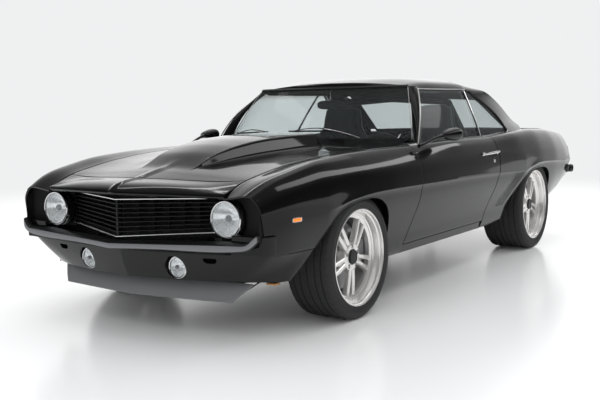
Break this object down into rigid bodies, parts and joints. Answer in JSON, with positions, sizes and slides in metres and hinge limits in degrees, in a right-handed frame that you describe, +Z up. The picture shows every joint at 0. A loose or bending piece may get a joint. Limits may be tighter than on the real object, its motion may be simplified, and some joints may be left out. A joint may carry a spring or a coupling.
{
  "type": "muscle car",
  "caption": "Two-door hardtop coupe with opening doors, hood and trunk lid, steered front wheels, turning wheels, bucket seats and a roll cage.",
  "frame": {"origin": "on the floor under the middle of the car, half way between its ends", "axes": "+Z up, the front faces -Y, +X to the driver's side (left)"},
  "size_m": [2.032, 4.724, 1.328],
  "materials": {
    "body_paint": "satin black paint",
    "trim_grey": "satin dark grey paint",
    "chin_black": "matte moulded plastic",
    "underbody": "matte black underseal",
    "bright_metal": "bright stainless trim",
    "wheel_alloy": "polished and satin machined alloy",
    "tyre_rubber": "moulded rubber",
    "clear_glass": "clear tinted glass",
    "lamp_glass": "clear lamp lens",
    "red_lens": "red lamp lens",
    "cabin_black": "moulded cabin trim",
    "seat_fabric": "woven black cloth",
    "seat_leather": "black grained vinyl",
    "cage_paint": "satin black tube",
    "cast_grey": "cast metal",
    "exhaust_steel": "stainless pipe"
  },
  "bodies": {
    "body": {"chin_spoiler": "chin_black", "cowl_panel": "body_paint", "dashboard": "cabin_black", "deck_panel": "body_paint", "engine": "cast_grey", "exhaust": "exhaust_steel", "floor_pan": "underbody", "fog_lights": "lamp_glass", "front_bumper": "trim_grey", "front_fenders": "body_paint", "front_seats": "seat_fabric", "front_subframe": "underbody", "front_valance": "body_paint", "fuel_tank": "underbody", "grille": "chin_black", "header_panel": "body_paint", "headlights": "lamp_glass", "inner_fenders": "underbody", "quarter_panels": "body_paint", "quarter_windows": "clear_glass", "radiator": "underbody", "rear_axle": "underbody", "rear_bumper": "trim_grey", "rear_panel": "body_paint", "rear_seat": "seat_leather", "rear_shelf": "cabin_black", "rear_window": "clear_glass", "roll_cage": "cage_paint", "roof": "body_paint", "sills": "body_paint", "steering_wheel": "cabin_black", "tail_lights": "red_lens", "wheelhouses": "underbody", "windshield": "clear_glass", "wipers": "bright_metal"},
    "hood": {"hood": "body_paint"},
    "trunk_lid": {"trunk_lid": "body_paint"},
    "left_door": {"left_door": "body_paint", "left_door_glass": "clear_glass", "left_mirror": "body_paint"},
    "left_knuckle": {"left_knuckle": "cast_grey"},
    "right_door": {"right_door": "body_paint", "right_door_glass": "clear_glass", "right_mirror": "body_paint"},
    "right_knuckle": {"right_knuckle": "cast_grey"},
    "front_left_wheel": {"front_left_tyre": "tyre_rubber", "front_left_wheel": "wheel_alloy", "front_left_brake_disc": "cast_grey"},
    "front_right_wheel": {"front_right_tyre": "tyre_rubber", "front_right_wheel": "wheel_alloy", "front_right_brake_disc": "cast_grey"},
    "rear_left_wheel": {"rear_left_tyre": "tyre_rubber", "rear_left_wheel": "wheel_alloy", "rear_left_brake_disc": "cast_grey"},
    "rear_right_wheel": {"rear_right_tyre": "tyre_rubber", "rear_right_wheel": "wheel_alloy", "rear_right_brake_disc": "cast_grey"}
  },
  "joints": [
    {"name": "left_door_hinge", "type": "hinge", "parent": "body", "child": "left_door", "pos_m": [0.915, -0.856, 0.6], "axis": [0, 0, -1], "range_deg": [0, 62]},
    {"name": "right_door_hinge", "type": "hinge", "parent": "body", "child": "right_door", "pos_m": [-0.915, -0.856, 0.6], "axis": [0, 0, 1], "range_deg": [0, 62]},
    {"name": "hood_hinge", "type": "hinge", "parent": "body", "child": "hood", "pos_m": [0, -0.713, 0.888], "axis": [-1, 0, 0], "range_deg": [0, 48]},
    {"name": "trunk_hinge", "type": "hinge", "parent": "body", "child": "trunk_lid", "pos_m": [0, 1.549, 0.921], "axis": [1, 0, 0], "range_deg": [0, 70]},
    {"name": "left_steering", "type": "hinge", "parent": "body", "child": "left_knuckle", "pos_m": [0.69, -1.413, 0.328], "axis": [0, 0, 1], "range_deg": [-30, 30]},
    {"name": "right_steering", "type": "hinge", "parent": "body", "child": "right_knuckle", "pos_m": [-0.69, -1.413, 0.328], "axis": [0, 0, 1], "range_deg": [-30, 30]},
    {"name": "front_left_wheel_spin", "type": "hinge", "parent": "left_knuckle", "child": "front_left_wheel", "pos_m": [0.77, -1.413, 0.328], "axis": [1, 0, 0], "continuous": true},
    {"name": "front_right_wheel_spin", "type": "hinge", "parent": "right_knuckle", "child": "front_right_wheel", "pos_m": [-0.77, -1.413, 0.328], "axis": [1, 0, 0], "continuous": true},
    {"name": "rear_left_wheel_spin", "type": "hinge", "parent": "body", "child": "rear_left_wheel", "pos_m": [0.77, 1.33, 0.345], "axis": [1, 0, 0], "continuous": true},
    {"name": "rear_right_wheel_spin", "type": "hinge", "parent": "body", "child": "rear_right_wheel", "pos_m": [-0.77, 1.33, 0.345], "axis": [1, 0, 0], "continuous": true}
  ],
  "couplings": [
    {"joint": "right_steering", "follows": "left_steering", "ratio": 1}
  ]
}
